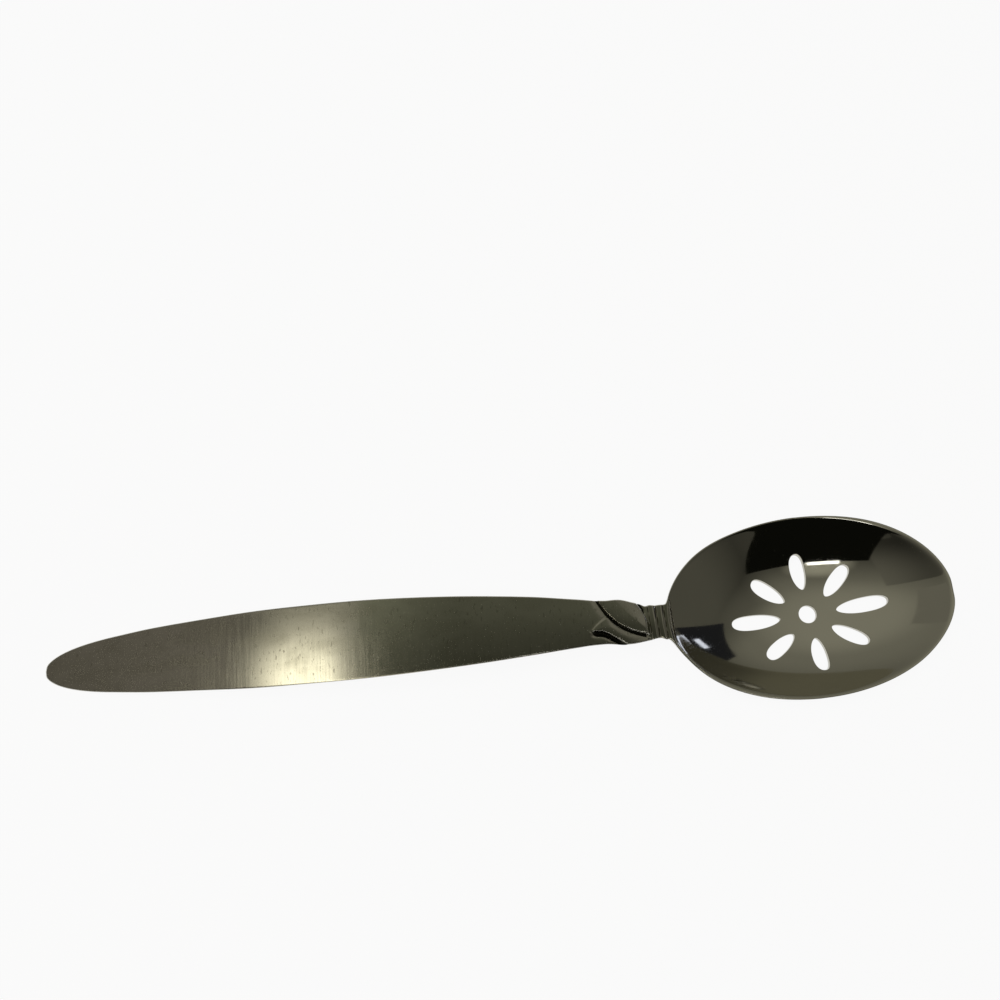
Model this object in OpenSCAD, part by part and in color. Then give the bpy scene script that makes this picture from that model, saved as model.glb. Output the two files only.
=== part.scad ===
// Pierced serving spoon, one piece of pressed steel.
// +X runs from the handle's end to the bowl's tip and +Z is up. The spoon lies as on a
// table: the bowl's underside and the handle's end touch z = 0. The origin is under the
// middle of the spoon. The functions below count x from the handle's end.

/* [Overall] */
// Length from the handle's end to the bowl's tip
overall_l = 213; // [200:0.5:235]

/* [Handle] */
// Width of the handle at its widest
handle_w = 17.7; // [15:0.1:20]
// Width of the rounded end, as carried past its round corners
end_w = 11.2; // [9:0.1:12.5]
// Length of the rounding at the handle's end
end_round_l = 16.8; // [12:0.2:20]
// Width of the handle where the leaves start
neck_w = 10.5; // [9.5:0.1:11.5]
// Width of the ridged collar
collar_w = 6.8; // [6.2:0.1:7.6]
// Thickness of the handle at its end
end_t = 1.6; // [1.2:0.1:2.2]
// Thickness of the handle along its middle
handle_t = 2.1; // [1.6:0.1:2.8]
// Thickness of the neck under the collar
neck_t = 3.4; // [2.8:0.1:4]
// How far the handle's face is crowned across its width
crown_h = 0.45; // [0.2:0.05:0.7]
// Height of the handle's edge
edge_t = 1.3; // [1:0.1:1.5]
// Height of the neck's edge
neck_edge_t = 2.7; // [2:0.1:3]

/* [Curve seen from the side] */
// Height of the arch's top above the table
arch_h = 17.8; // [15:0.1:21]
// Distance from the handle's end to the arch's top
arch_x = 107; // [98:1:114]
// Rise of the rim where it meets the collar, above its lowest stretch
back_rise = 1; // [0.6:0.1:2]
// Rise of the rim at the bowl's tip, above its lowest stretch
tip_rise = 1.7; // [0.8:0.1:2.6]

/* [Bowl] */
// Length of the bowl's oval
bowl_l = 66.8; // [60:0.2:72]
// Width of the bowl's oval
bowl_w = 42.4; // [38:0.2:46]
// Depth of the bowl below its rim
bowl_depth = 10.6; // [8.5:0.1:12]
// How flat the floor of the bowl is: 1 is evenly curved, and more is flatter with steeper walls
wall_power = 1.25; // [1:0.05:1.5]
// Thickness of the bowl's wall
bowl_t = 1.3; // [1:0.05:1.6]
// Thickness of the rim
rim_t = 1.2; // [0.9:0.05:1.5]
// Angle by which the bowl sits turned from the handle's line
bowl_turn = 1.6; // [0:0.1:3]
// How much fuller the oval is on the far side, towards its tip
tip_fullness = 0.5; // [0:0.1:0.8]
// How much fuller the oval is on its shoulders, next to the collar
shoulder = 0.25; // [0:0.05:0.5]
// How deep the near side is hollowed where the collar runs into the bowl
near_fillet = 1.2; // [0.6:0.1:1.6]
// How far the near side stands out at the end of the collar, just before that hollow
near_corner = 1.15; // [0.6:0.05:1.4]

/* [Leaves and ridges] */
// Length of the leaf ornament, from its foremost tip to the collar
leaf_l = 14.2; // [13:0.1:15]
// Height of the upper leaf above the handle's face
upper_leaf_h = 0.95; // [0.5:0.05:1.2]
// Height of the lower leaf above the handle's face
lower_leaf_h = 0.6; // [0.3:0.05:0.8]
// Depth of the scoop beside the upper leaf
leaf_valley = 0.4; // [0.2:0.05:0.5]
// Depth of the scoop under the lower leaf
undercut = 0.85; // [0.4:0.05:1]
// Number of ridges across the collar
ridge_n = 3; // [2:1:4]
// Distance from one ridge to the next
ridge_pitch = 1.85; // [1.6:0.05:2]
// Height of a ridge
ridge_h = 0.55; // [0.3:0.05:0.7]
// Slant of the ridges across the collar
ridge_slant = 3; // [0:0.5:8]
// How far the collar sits off the handle's centre line
collar_shift = 0.3; // [0:0.05:0.5]
// How much narrower the neck is, on each side, where the leaves start
waist = 0.5; // [0:0.05:0.8]
// How far the upper leaf swells past the far side of the neck
upper_leaf_swell = 0.35; // [0:0.05:0.6]
// How far the lower leaf swells past the near side of the neck
lower_leaf_swell = 0.9; // [0.4:0.05:1.2]
// Depth of the notch between the upper leaf and the collar
notch_d = 0.35; // [0:0.05:0.6]

/* [Piercings] */
// Diameter of the round hole in the middle
hub_d = 4.2; // [3:0.1:5]
// Distance of that hole beyond the middle of the oval
hub_shift = 2.7; // [0:0.1:4]
// Distance of that hole from the centre line, to the near side
hub_side = 0.45; // [0:0.05:1]
// Number of petals around the hole
petal_n = 8; // [4:4:8]
// Width of a petal at its widest
petal_w = 3.6; // [2.8:0.1:4.2]
// How blunt the ends of a petal are: 2 is a plain oval
petal_blunt = 2.3; // [2:0.1:3]
// How far the widest place of a petal leans outwards: 1 is the middle
petal_lean = 1.3; // [1:0.05:1.6]
// Distance from the middle of the hole to a petal
petal_start = 6; // [5:0.1:7]
// Length of the two petals that lie along the spoon
long_petal_l = 12; // [9:0.1:13.5]
// Length of the two petals that lie across the spoon
cross_petal_l = 8.2; // [6:0.1:9]
// Length of the slanting petals
slant_petal_l = 9; // [6:0.1:10]
// Angle of the slanting petals from the spoon's length
slant_petal_angle = 38.5; // [36:0.5:45]
// Angle by which the whole pattern is turned
pattern_turn = 3.5; // [0:0.5:6]

/* [Hidden] */

// The oval of the bowl, and where things lie along the spoon.
bowl_a = bowl_l / 2;
bowl_b = bowl_w / 2;
bowl_x = overall_l - bowl_a;
bowl_start = overall_l - bowl_l;
collar_l = ridge_n * ridge_pitch;
collar_x = bowl_start + 1.5 - collar_l;
leaf_x = collar_x - leaf_l;
rim_h = bowl_depth + bowl_t;

// Points round each section: the upper face, each edge and the underside.
upper_n = 27;
under_n = 10;
// The edge turns from 90 on the face past 0 at its widest to -90 on the underside.
edge_turns = [40, 0, -40];
ring_n = upper_n + under_n + 2 * len(edge_turns);
// Radius of the small rounding between the face and the edge
top_round = 0.35;

// Rings along the spoon: the rounded end, the plain handle, the ornament and the bowl.
end_rings = 8;
handle_rings = 13;
ornament_rings = 50;
bowl_rings = 34;
// Nearest that a ring comes to either end of the spoon
end_gap = 0.06;

function clamp01(v) = min(1, max(0, v));
function ease(v) = let (c = clamp01(v)) c * c * c * (10 + c * (6 * c - 15));
function mix(a, b, v) = a + (b - a) * v;
function bump(v) = exp(-v * v);
// A larger value wins, with a rounded corner of the given softness between the two.
function soft_max(a, b, soft) = (a + b + sqrt((a - b) * (a - b) + soft * soft)) / 2;
// A smooth curve through values that stand evenly spaced from 0 to 1.
function curve(list, v) =
    let (n = len(list) - 1, p = clamp01(v) * n, i = min(n - 1, floor(p)), f = p - i,
         a = list[max(0, i - 1)], b = list[i], c = list[i + 1], d = list[min(n, i + 2)])
    b + f * ((c - a) / 2 + f * (a - 2.5 * b + 2 * c - d / 2 + f * (1.5 * (b - c) + (d - a) / 2)));

// Centre line seen from above: straight, then turned a little along the bowl.
function line_y(x) =
    tan(bowl_turn) * soft_max(0, x - collar_x, 4) - collar_shift * bump((x - collar_x - 1.5) / 6);

// Height of the rim along the bowl, carried on towards the handle.
function rim_z(x) =
    let (u = (x - bowl_x) / bowl_a)
    rim_h + (tip_rise - back_rise) / 2 * u + (tip_rise + back_rise) / 2 * u * u;

// Height of the face along the centre line: the handle's arch, then the rim.
function spine_z(x) =
    x < arch_x ? mix(end_t, arch_h, sin(90 * x / arch_x))
               : mix(arch_h, rim_z(x), ease((x - arch_x) / (bowl_start - arch_x)));

// Half of the handle's width: it widens from the end, then narrows to the neck. The shares
// stand evenly along the handle, and say how far the width has come to its widest.
widen_shares = [0, 0.12, 0.49, 0.74, 0.95, 1];
narrow_shares = [0.985, 0.86, 0.65, 0.35, 0];
function handle_form(x) =
    curve(concat([for (s = widen_shares) mix(end_w / handle_w, 1, s)],
                 [for (s = narrow_shares) mix(neck_w / handle_w, 1, s)]), x / leaf_x);
function end_form(x) =
    let (u = 1 - clamp01(x / end_round_l))
    sqrt(max(0, 1 - u * u));
function stem_half(x) =
    mix(handle_w / 2 * handle_form(x) * end_form(x), collar_w / 2,
        ease((x - leaf_x - leaf_l * 0.35) / (leaf_l * 0.75)));
function bowl_half(x) =
    let (u = (x - bowl_x) / bowl_a)
    u < -1 || u > 1 ? 0 : bowl_b * sqrt(1 - u * u);
function half_w(x) =
    x < bowl_x ? soft_max(stem_half(x), bowl_half(x), 1.6) : bowl_half(x);

// The two sides differ a little, so each has its own list of small swells and hollows.
// Each entry is the amount, the place along the spoon and the reach, in millimetres.
far_swells = [[0.12, 29, 15], [-waist, leaf_x + 4.2, 3.3], [upper_leaf_swell, leaf_x + 13, 2],
              [-notch_d, collar_x - 0.7, 0.7], [shoulder, bowl_start + 8.7, 7],
              [-0.13, bowl_x - 12, 10], [tip_fullness, bowl_x + 20.6, 13]];
near_swells = [[-waist, leaf_x + 5.6, 5.6], [lower_leaf_swell, leaf_x + 11.9, 4.8],
               [near_corner, bowl_start - 0.1, 1.2], [-near_fillet, bowl_start + 3.2, 3.4],
               [shoulder, bowl_x - 16.4, 9.8], [-0.2, bowl_x + 29.3, 4.3]];
function sum(list, i = 0) = i < len(list) ? list[i] + sum(list, i + 1) : 0;
function swells(list, x) = sum([for (s = list) s[0] * bump((x - s[1]) / s[2])]);
function side_w(x, side) = half_w(x) + swells(side > 0 ? far_swells : near_swells, x);

// Height and rounding of the edge, and the thickness of the steel along the spoon. The edge
// is widest close under the face, and the underside runs up to it in a large rounding.
function edge_h(x) =
    x < collar_x + 2 ? mix(edge_t, neck_edge_t, ease((x - leaf_x + 8) / 18))
                     : mix(neck_edge_t, rim_t, ease((x - collar_x - 2) / (collar_l + 4)));
function top_r(x) = min(top_round, half_w(x) * 0.5);
function under_r(x) = min(edge_h(x) * 0.55, half_w(x) * 0.6);
function steel_t(x) =
    x < collar_x ? mix(mix(end_t, handle_t, ease(x / 40)), neck_t, ease((x - arch_x) / (collar_x - arch_x)))
                 : mix(neck_t, bowl_t, ease((x - collar_x - 1) / 16));

// The dish of the bowl: 1 at its deepest and 0 on the inner edge of the rim.
function dish(x, y) =
    let (u = (x - bowl_x) / (bowl_a - rim_t / 2), v = (y - line_y(x)) / (bowl_b - rim_t / 2))
    soft_max(0, 1 - pow(u * u + v * v, wall_power), 0.05);
function face_z(x, y) =
    let (v = (y - line_y(x)) / max(1, half_w(x)))
    spine_z(x) - bowl_depth * dish(x, y)
    - crown_h * min(1, v * v) * (1 - ease((x - collar_x) / collar_l));

// The edges of the two leaves seen from above. The upper leaf's edge sweeps down to the
// collar, and the lower leaf comes out from under it to a rounded tip.
function upper_edge_y(x) = -4.2 + 8.3 * exp((leaf_x + 2.95 - x) / 4.8);
function upper_base_x(y) = collar_x - 0.4 - 0.42 * y - 0.025 * y * y;
function lower_top_y(x) = -2.3 + 3.9 * pow(clamp01((x - leaf_x - 0.4) / 4.6), 0.7);

// Distance inside the edge of each leaf, in millimetres. It is negative outside.
function upper_inside(x, y) =
    let (e = upper_edge_y(x), slope = (e + 4.2) / 4.8)
    min((y - e) / sqrt(1 + slope * slope), (upper_base_x(y) - x) * 0.9);
function lower_inside(x, y) = min((lower_top_y(x) - y) * 0.75, x - leaf_x);
function above_undercut(x, y) = y + 2.15 + 0.62 * soft_max(0, x - leaf_x - 3.5, 0.8);

// A leaf is a soft pillow that falls off steeply at its edge. A scoop is deepest at the foot
// of such an edge, and runs out softly on the other side.
function pillow(d, step) = 0.5 * ease((d + step / 2) / step) + 0.5 * (1 - exp(-max(0, d) / 1.3));
function scoop(d, reach) = bump(min(0, d + 0.1) / reach) * (1 - ease((d + 0.1) / 0.4));
function valley(x, y) =
    ease((x - leaf_x + 2) / 5) * mix(0.55, 1, ease((x - leaf_x - 4) / 4)) * scoop(upper_inside(x, y), 1.3);
function hollow(x, y) =
    ease((x - leaf_x + 0.4) / 2.6) * (1 - ease(upper_inside(x, y) + 1)) * scoop(above_undercut(x, y), 0.9);
function relief(x, y) =
    let (up = upper_inside(x, y), low = min(lower_inside(x, y), above_undercut(x, y) + 0.4),
         lower = lower_leaf_h * pillow(low, 1.1) * (1 - 0.45 * ease(up + 1)),
         fade = 1 - ease((x - collar_x + 1.2) / 1.4))
    fade * (max(upper_leaf_h * pillow(up, 0.55), lower)
            - leaf_valley * valley(x, y) - undercut * hollow(x, y));

// The ridges across the collar, round on top, with narrow grooves between them.
function ridges(x, y) =
    let (u = (x + tan(ridge_slant) * y - collar_x) / ridge_pitch)
    u < 0 || u > ridge_n ? 0 : ridge_h * sqrt(max(0, sin(180 * (u - floor(u)))));
function ornament(x, y) = x < leaf_x - 2 || x > bowl_start + 2 ? 0 : relief(x, y) + ridges(x, y);

// One section of the spoon, point by point: upper face, far edge, underside, near edge.
function upper_pt(x, t) =
    let (y = line_y(x) + t * (side_w(x, t) - top_r(x)))
    [x, y, face_z(x, y) + ornament(x, y)];
function under_pt(x, t) =
    let (y = line_y(x) + t * (side_w(x, t) - under_r(x)), z = face_z(x, y), d = 0.05,
         slope_x = (face_z(x + d, y) - face_z(x - d, y)) / (2 * d),
         slope_y = (face_z(x, y + d) - face_z(x, y - d)) / (2 * d),
         full = steel_t(x) * sqrt(1 + min(1.2, slope_x * slope_x + slope_y * slope_y)),
         edge = max(edge_h(x), x > bowl_start ? full : 0),
         p = t * t * t * t)
    [x, y, z - mix(full, min(edge, full), p)];
function edge_pts(x, side) =
    let (a = upper_pt(x, side), b = under_pt(x, side), knee = 1 - 0.8 * top_r(x) / edge_h(x))
    [for (turn = edge_turns)
        let (r = turn > 0 ? top_r(x) : under_r(x),
             share = turn > 0 ? mix(knee, 1, sin(turn)) : knee * (1 + sin(turn)))
        [x, line_y(x) + side * (side_w(x, side) - r * (1 - cos(turn))), mix(b[2], a[2], share)]];
function section(x) =
    let (far = edge_pts(x, 1), near = edge_pts(x, -1), last = len(edge_turns) - 1)
    concat([for (i = [0 : upper_n - 1]) upper_pt(x, -1 + 2 * i / (upper_n - 1))],
           far,
           [for (i = [0 : under_n - 1]) under_pt(x, 1 - 2 * i / (under_n - 1))],
           [for (i = [0 : last]) near[last - i]]);

// Where the rings stand along the spoon.
ornament_x0 = leaf_x - 1.2;
ornament_x1 = bowl_start + 1.6;
ring_xs = concat(
    [for (i = [0 : end_rings - 1]) end_gap + end_round_l * (1 - cos(90 * i / end_rings))],
    [for (i = [0 : handle_rings - 1]) mix(end_round_l, ornament_x0, i / handle_rings)],
    [for (i = [0 : ornament_rings - 1]) mix(ornament_x0, ornament_x1, i / ornament_rings)],
    [for (i = [0 : bowl_rings])
        let (a0 = acos((bowl_x - ornament_x1) / bowl_a), a1 = 180 - acos(1 - end_gap / bowl_a))
        bowl_x - bowl_a * cos(mix(a0, a1, i / bowl_rings))]);

rings = len(ring_xs);
points = concat([for (x = ring_xs) each section(x)],
                [[0, line_y(0), spine_z(0) - end_t / 2],
                 [overall_l, line_y(overall_l), spine_z(overall_l) - rim_t / 2]]);
mid_y = (min([for (p = points) p[1]]) + max([for (p = points) p[1]])) / 2;
low_z = min([for (p = points) p[2]]);

module spoon_blank() {
    ends = [rings * ring_n, rings * ring_n + 1];
    polyhedron(points, concat(
        [for (i = [0 : rings - 2], j = [0 : ring_n - 1])
            let (k = (j + 1) % ring_n, a = i * ring_n, b = a + ring_n,
                 rise = abs(points[a + j][2] - points[b + k][2]),
                 fall = abs(points[b + j][2] - points[a + k][2]))
            each rise < fall ? [[a + j, b + j, b + k], [a + j, b + k, a + k]]
                             : [[a + j, b + j, a + k], [b + j, b + k, a + k]]],
        [for (j = [0 : ring_n - 1])
            let (k = (j + 1) % ring_n, b = (rings - 1) * ring_n)
            each [[ends[0], j, k], [ends[1], b + k, b + j]]]));
}

// A petal lies along +X from its inner end. It is an oval with blunt ends, and its widest
// place leans towards the outer end.
function blunted(v) = sign(v) * pow(abs(v), 2 / petal_blunt);
module petal(length) {
    linear_extrude(rim_h * 2)
        polygon([for (a = [0 : 18 : 342])
            [length * pow((1 + blunted(cos(a))) / 2, 1 / petal_lean), petal_w / 2 * blunted(sin(a))]]);
}

// Angle and length of each petal: every second one slants.
function petal_angle(i) =
    let (quarter = floor(i / 2), flip = quarter % 2)
    i % 2 == 0 ? 90 * quarter : 90 * quarter + (flip == 0 ? slant_petal_angle : 90 - slant_petal_angle);
function petal_length(i) = i % 2 == 1 ? slant_petal_l : i % 4 == 0 ? long_petal_l : cross_petal_l;

module piercings() {
    hub_x = bowl_x + hub_shift;
    translate([hub_x, line_y(hub_x) - hub_side, -rim_h / 2]) {
        cylinder(h = rim_h * 2, d = hub_d, $fn = 48);
        for (i = [0 : 8 / petal_n : 7])
            rotate([0, 0, petal_angle(i) + bowl_turn + pattern_turn])
                translate([petal_start + (i % 4 == 0 ? 0.8 : 0), 0, 0]) petal(petal_length(i));
    }
}

module pierced_spoon() {
    color("#6f6c5d")
        translate([-overall_l / 2, -mid_y, -low_z])
            difference() {
                spoon_blank();
                piercings();
            }
}

pierced_spoon();
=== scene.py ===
# %% [markdown]
# # A pierced serving spoon
# A spoon like this is one piece of stainless steel. The maker stamps a flat blank from
# sheet, punches the petal slots and the round hole while it is still flat, presses the
# blank in a die that gives it the bowl, the arch and the leaves at the neck, and then
# polishes the bowl and brushes the handle. This script follows the same order, because
# each step is easiest in that order here too: holes are simple to cut in a flat sheet,
# and pressing only lifts or lowers each point.

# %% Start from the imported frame
import math

import bpy
import numpy as np
from mathutils import Matrix, Vector


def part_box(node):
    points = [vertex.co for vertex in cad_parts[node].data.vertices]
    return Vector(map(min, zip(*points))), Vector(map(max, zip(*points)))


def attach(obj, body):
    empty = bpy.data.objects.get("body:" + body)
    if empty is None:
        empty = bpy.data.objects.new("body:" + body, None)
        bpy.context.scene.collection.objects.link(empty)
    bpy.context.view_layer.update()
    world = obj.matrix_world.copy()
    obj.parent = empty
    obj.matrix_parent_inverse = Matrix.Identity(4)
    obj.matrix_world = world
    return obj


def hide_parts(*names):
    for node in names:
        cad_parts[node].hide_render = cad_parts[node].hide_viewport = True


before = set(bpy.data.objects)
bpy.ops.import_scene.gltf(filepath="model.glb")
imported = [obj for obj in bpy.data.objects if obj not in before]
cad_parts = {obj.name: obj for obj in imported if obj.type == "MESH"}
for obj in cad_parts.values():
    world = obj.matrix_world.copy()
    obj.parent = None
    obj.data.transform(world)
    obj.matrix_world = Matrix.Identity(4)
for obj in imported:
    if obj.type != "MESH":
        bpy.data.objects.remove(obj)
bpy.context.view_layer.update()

frame_low, frame_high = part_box("pierced_spoon")
print("frame box in mm:", [round(1000 * v, 2) for v in (*frame_low, *frame_high)])

# %% [markdown]
# A few small helpers. Everything is deselected before each new piece, since an operator
# acts on all that is selected. Colours are written as hex values, as a designer would
# read them off a sample, and one function turns them to the linear values that the
# shaders need. One function adds a node and fills its sockets, with a value or a link.

# %% Helpers
MM = 0.001


def start_piece():
    if bpy.context.object and bpy.context.object.mode != "OBJECT":
        bpy.ops.object.mode_set(mode="OBJECT")
    bpy.ops.object.select_all(action="DESELECT")


def linear(hex_colour):
    parts = [int(hex_colour[i : i + 2], 16) / 255 for i in (1, 3, 5)]
    return [v / 12.92 if v <= 0.04045 else ((v + 0.055) / 1.055) ** 2.4 for v in parts] + [1.0]


def add_node(tree, kind, settings=None, sockets=None):
    """Add a node, whose kind is its type without the ShaderNode at the start. A socket that
    is given another node's output is linked to it, and any other value is set."""
    node = tree.nodes.new("ShaderNode" + kind)
    for name, value in (settings or {}).items():
        setattr(node, name, value)
    for name, value in (sockets or {}).items():
        if isinstance(value, bpy.types.NodeSocket):
            tree.links.new(value, node.inputs[name])
        else:
            node.inputs[name].default_value = value
    return node


def mesh_points(piece):
    flat = np.zeros(len(piece.data.vertices) * 3)
    piece.data.vertices.foreach_get("co", flat)
    return flat.reshape(-1, 3)


def set_mesh_points(piece, points):
    piece.data.vertices.foreach_set("co", points.ravel())
    piece.data.update()


# %% [markdown]
# The sizes of the spoon, in millimetres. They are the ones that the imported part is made
# from, so the smooth spoon here lies in the same place as the faceted one in the frame.
# x is counted from the handle's end to the bowl's tip, and y across the spoon, with its
# far side positive. In the names, _l is a length, _w a width, _t a thickness, _h a height,
# _d a diameter or a depth, and _x a place along the spoon.

# %% Sizes in millimetres
overall_l = (frame_high.x - frame_low.x) / MM
handle_w, end_w, end_round_l, neck_w, collar_w = 17.7, 11.2, 16.8, 10.5, 6.8
end_t, handle_t, neck_t, crown_h = 1.6, 2.1, 3.4, 0.45
edge_t, neck_edge_t, rim_t = 1.3, 2.7, 1.2
arch_h, arch_x, back_rise, tip_rise = 17.8, 107, 1.0, 1.7
bowl_l, bowl_w, bowl_depth, bowl_t, bowl_turn = 66.8, 42.4, 10.6, 1.3, 1.6
tip_fullness, shoulder, near_fillet, near_corner = 0.5, 0.25, 1.2, 1.15
wall_power, top_round = 1.25, 0.35
leaf_l, upper_leaf_h, lower_leaf_h, leaf_valley, undercut = 14.2, 0.95, 0.6, 0.4, 0.85
ridge_n, ridge_pitch, ridge_h, ridge_slant = 3, 1.85, 0.55, 3
collar_shift, waist, upper_leaf_swell, lower_leaf_swell, notch_d = 0.3, 0.5, 0.35, 0.9, 0.35
hub_d, hub_shift, hub_side, petal_w, petal_start = 4.2, 2.7, -0.45, 3.6, 6
long_petal_l, cross_petal_l, slant_petal_l = 12.0, 8.2, 9.0
slant_petal_angle, pattern_turn, petal_blunt, petal_lean = 38.5, 3.5, 2.3, 1.3

bowl_a, bowl_b = bowl_l / 2, bowl_w / 2
bowl_x = overall_l - bowl_a
bowl_start = overall_l - bowl_l
collar_l = ridge_n * ridge_pitch
collar_x = bowl_start + 1.5 - collar_l
leaf_x = collar_x - leaf_l
rim_h = bowl_depth + bowl_t
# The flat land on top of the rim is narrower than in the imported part, because polishing
# rounds the rim's inner edge away.
RIM_LAND = 0.35

# %% [markdown]
# The form of the spoon is a handful of curves, written as functions of whole arrays, so
# that thousands of points are placed in one go. They are put together from five small
# ones: a step with soft ends, a mix of two values, a bell, a soft maximum, and a smooth
# curve through a few values.

# %% Small curves to build with
def ease(v):
    c = np.clip(v, 0, 1)
    return c * c * c * (10 + c * (6 * c - 15))


def mix(a, b, v):
    return a + (b - a) * v


def bump(v):
    return np.exp(-v * v)


def soft_max(a, b, soft):
    return (a + b + np.sqrt((a - b) ** 2 + soft * soft)) / 2


def curve(values, v):
    """A smooth curve through evenly spaced values, for v from 0 to 1."""
    values = np.asarray(values, float)
    last = len(values) - 1
    place = np.clip(v, 0, 1) * last
    i = np.minimum(last - 1, np.floor(place)).astype(int)
    f = place - i
    a, b = values[np.maximum(0, i - 1)], values[i]
    c, d = values[i + 1], values[np.minimum(last, i + 2)]
    bend = a - 2.5 * b + 2 * c - d / 2
    return b + f * ((c - a) / 2 + f * (bend + f * (1.5 * (b - c) + (d - a) / 2)))


# %% [markdown]
# Seen from above there is a centre line and a half width. The line is straight along the
# handle and turns a little with the bowl, which on this spoon was pressed slightly askew.
# The half width widens from the rounded end, narrows to the neck and grows into the oval of
# the bowl. Small swells then give each side the bulges of its leaf and the shoulders of the
# bowl, which differ from side to side.

# %% The outline from above
def line_y(x):
    turned = math.tan(math.radians(bowl_turn)) * soft_max(0, x - collar_x, 4)
    return turned - collar_shift * bump((x - collar_x - 1.5) / 6)


# Shares of the way from the end's width to the full one, and from the full one to the neck's
widen_shares = [0, 0.12, 0.49, 0.74, 0.95, 1]
narrow_shares = [0.985, 0.86, 0.65, 0.35, 0]


def handle_form(x):
    widen = [mix(end_w / handle_w, 1, s) for s in widen_shares]
    narrow = [mix(neck_w / handle_w, 1, s) for s in narrow_shares]
    return curve(widen + narrow, x / leaf_x)


def end_form(x):
    u = 1 - np.clip(x / end_round_l, 0, 1)
    return np.sqrt(np.maximum(0, 1 - u * u))


def bowl_half(x):
    u = np.clip((x - bowl_x) / bowl_a, -1, 1)
    return bowl_b * np.sqrt(np.maximum(0, 1 - u * u))


def half_w(x):
    stem = mix(handle_w / 2 * handle_form(x) * end_form(x), collar_w / 2,
               ease((x - leaf_x - leaf_l * 0.35) / (leaf_l * 0.75)))
    return np.where(x < bowl_x, soft_max(stem, bowl_half(x), 1.6), bowl_half(x))


# Small swells of each side: amount, place along the spoon, and reach, in millimetres
far_swells = [(0.12, 29, 15), (-waist, leaf_x + 4.2, 3.3), (upper_leaf_swell, leaf_x + 13, 2),
              (-notch_d, collar_x - 0.7, 0.7), (shoulder, bowl_start + 8.7, 7),
              (-0.13, bowl_x - 12, 10), (tip_fullness, bowl_x + 20.6, 13)]
near_swells = [(-waist, leaf_x + 5.6, 5.6), (lower_leaf_swell, leaf_x + 11.9, 4.8),
               (near_corner, bowl_start - 0.1, 1.2), (-near_fillet, bowl_start + 3.2, 3.4),
               (shoulder, bowl_x - 16.4, 9.8), (-0.2, bowl_x + 29.3, 4.3)]


def swells(plan, x):
    return sum(amount * bump((x - place) / reach) for amount, place, reach in plan)


def side_w(x, side):
    """Half width on one side: side is 1 for the far one and -1 for the near one."""
    return half_w(x) + np.where(side > 0, swells(far_swells, x), swells(near_swells, x))


# %% [markdown]
# Seen from the side there is the height of the face. It rises along the arched handle and
# falls to the bowl's rim, which curves up at both ends. Across the bowl there is the dish:
# a rounded form that is steep at the walls and flat in the middle, so that the pierced
# floor lies almost level. The handle's face is slightly crowned.

# %% The form from the side
def rim_z(x):
    u = (x - bowl_x) / bowl_a
    return rim_h + (tip_rise - back_rise) / 2 * u + (tip_rise + back_rise) / 2 * u * u


def spine_z(x):
    """Height of the face along the centre line, and over the bowl that of the rim."""
    arch = mix(end_t, arch_h, np.sin(math.pi / 2 * x / arch_x))
    fall = mix(arch_h, rim_z(x), ease((x - arch_x) / (bowl_start - arch_x)))
    return np.where(x < arch_x, arch, fall)


def face_z(x, y):
    u = (x - bowl_x) / (bowl_a - RIM_LAND)
    v = (y - line_y(x)) / (bowl_b - RIM_LAND)
    dish = soft_max(0, 1 - (u * u + v * v) ** wall_power, 0.05)
    w = (y - line_y(x)) / np.maximum(1, half_w(x))
    crown = crown_h * np.minimum(1, w * w) * (1 - ease((x - collar_x) / collar_l))
    return spine_z(x) - bowl_depth * dish - crown


# %% [markdown]
# The steel itself is thin at the handle's end, thick under the neck, where the spoon would
# bend first, and thin again in the bowl. Its edges are thinner than its middle, and are
# rounded: tightly on top, and with a wider round underneath.

# %% Thickness and edges
def steel_t(x):
    handle = mix(end_t, handle_t, ease(x / 40))
    to_neck = mix(handle, neck_t, ease((x - arch_x) / (collar_x - arch_x)))
    to_bowl = mix(neck_t, bowl_t, ease((x - collar_x - 1) / 16))
    return np.where(x < collar_x, to_neck, to_bowl)


def edge_h(x):
    to_neck = mix(edge_t, neck_edge_t, ease((x - leaf_x + 8) / 18))
    to_rim = mix(neck_edge_t, rim_t, ease((x - collar_x - 2) / (collar_l + 4)))
    return np.where(x < collar_x + 2, to_neck, to_rim)


def top_r(x):
    return np.minimum(top_round, half_w(x) * 0.5)


def under_r(x):
    """How much narrower the underside is, on each side, than the widest place."""
    return np.minimum(edge_h(x) * 0.55, half_w(x) * 0.6)


# %% [markdown]
# The ornament is two leaves that overlap, and a collar of ridges. Each leaf is a soft
# pillow that falls off steeply at its edge, so all that a leaf needs is the distance from
# any point to its edge. A scoop is deepest at the foot of such an edge and runs out softly
# on the other side: a shallow one beside the upper leaf, and a deep one under the lower
# leaf. The ridges are round on top and meet in narrow grooves.

# %% Leaves and ridges
def upper_inside(x, y):
    """Distance inside the upper leaf's edge, in millimetres, and negative outside it."""
    edge = -4.2 + 8.3 * np.exp((leaf_x + 2.95 - x) / 4.8)
    slope = (edge + 4.2) / 4.8
    base = collar_x - 0.4 - 0.42 * y - 0.025 * y * y - x
    return np.minimum((y - edge) / np.sqrt(1 + slope * slope), base * 0.9)


def lower_inside(x, y):
    top = -2.3 + 3.9 * np.clip((x - leaf_x - 0.4) / 4.6, 0, 1) ** 0.7
    return np.minimum((top - y) * 0.75, x - leaf_x)


def above_undercut(x, y):
    """Distance above the line that the deep scoop under the lower leaf follows."""
    return y + 2.15 + 0.62 * soft_max(0, x - leaf_x - 3.5, 0.8)


def pillow(d, step):
    return 0.5 * ease((d + step / 2) / step) + 0.5 * (1 - np.exp(-np.maximum(0, d) / 1.3))


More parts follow.
